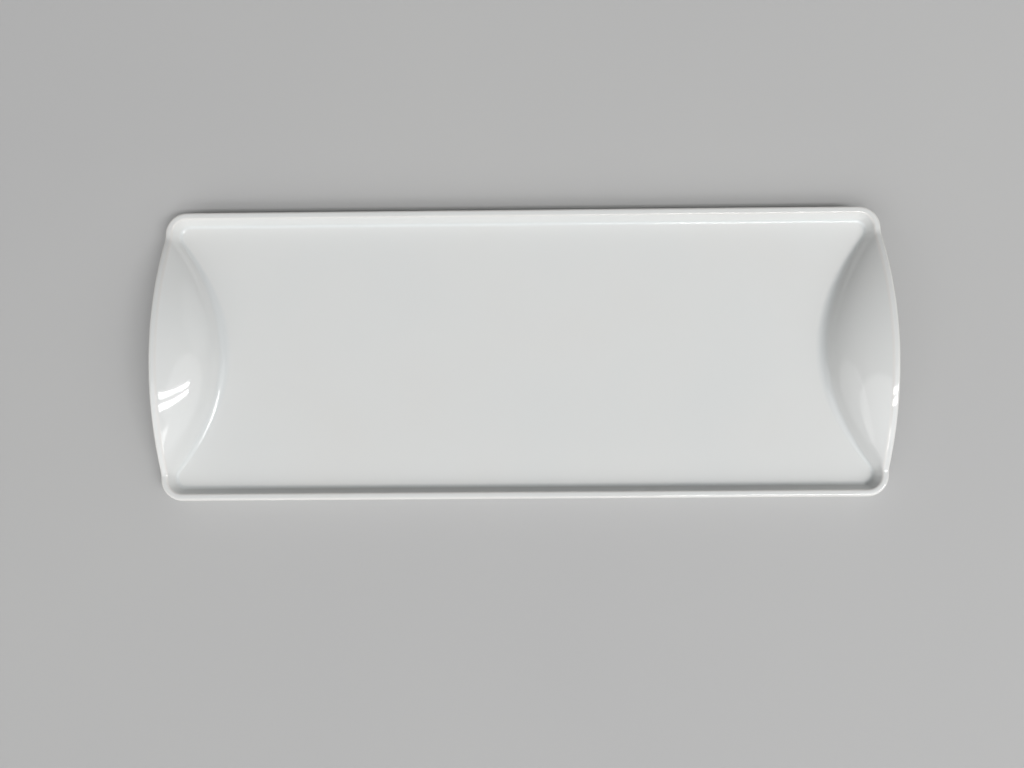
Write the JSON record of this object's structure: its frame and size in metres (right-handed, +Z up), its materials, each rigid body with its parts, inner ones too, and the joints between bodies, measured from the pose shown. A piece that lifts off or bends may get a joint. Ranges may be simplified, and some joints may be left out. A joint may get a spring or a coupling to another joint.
{
  "type": "rectangular platter",
  "caption": "Long rectangular serving platter in white glazed porcelain, with low side rims, arched wing ends to lift it by and a bare foot ring.",
  "frame": {"origin": "on the table, under the middle of the platter", "axes": "+X along the platter towards one wing, +Y across it towards one side rim, +Z up"},
  "size_m": [0.374, 0.15, 0.0274],
  "materials": {
    "bare_porcelain": "unglazed, matt and fine-grained",
    "white_glaze": "glossy white glaze"
  },
  "bodies": {
    "root": {"porcelain_body": "bare_porcelain", "glaze_coat": "white_glaze", "base_glaze": "white_glaze"}
  },
  "joints": []
}
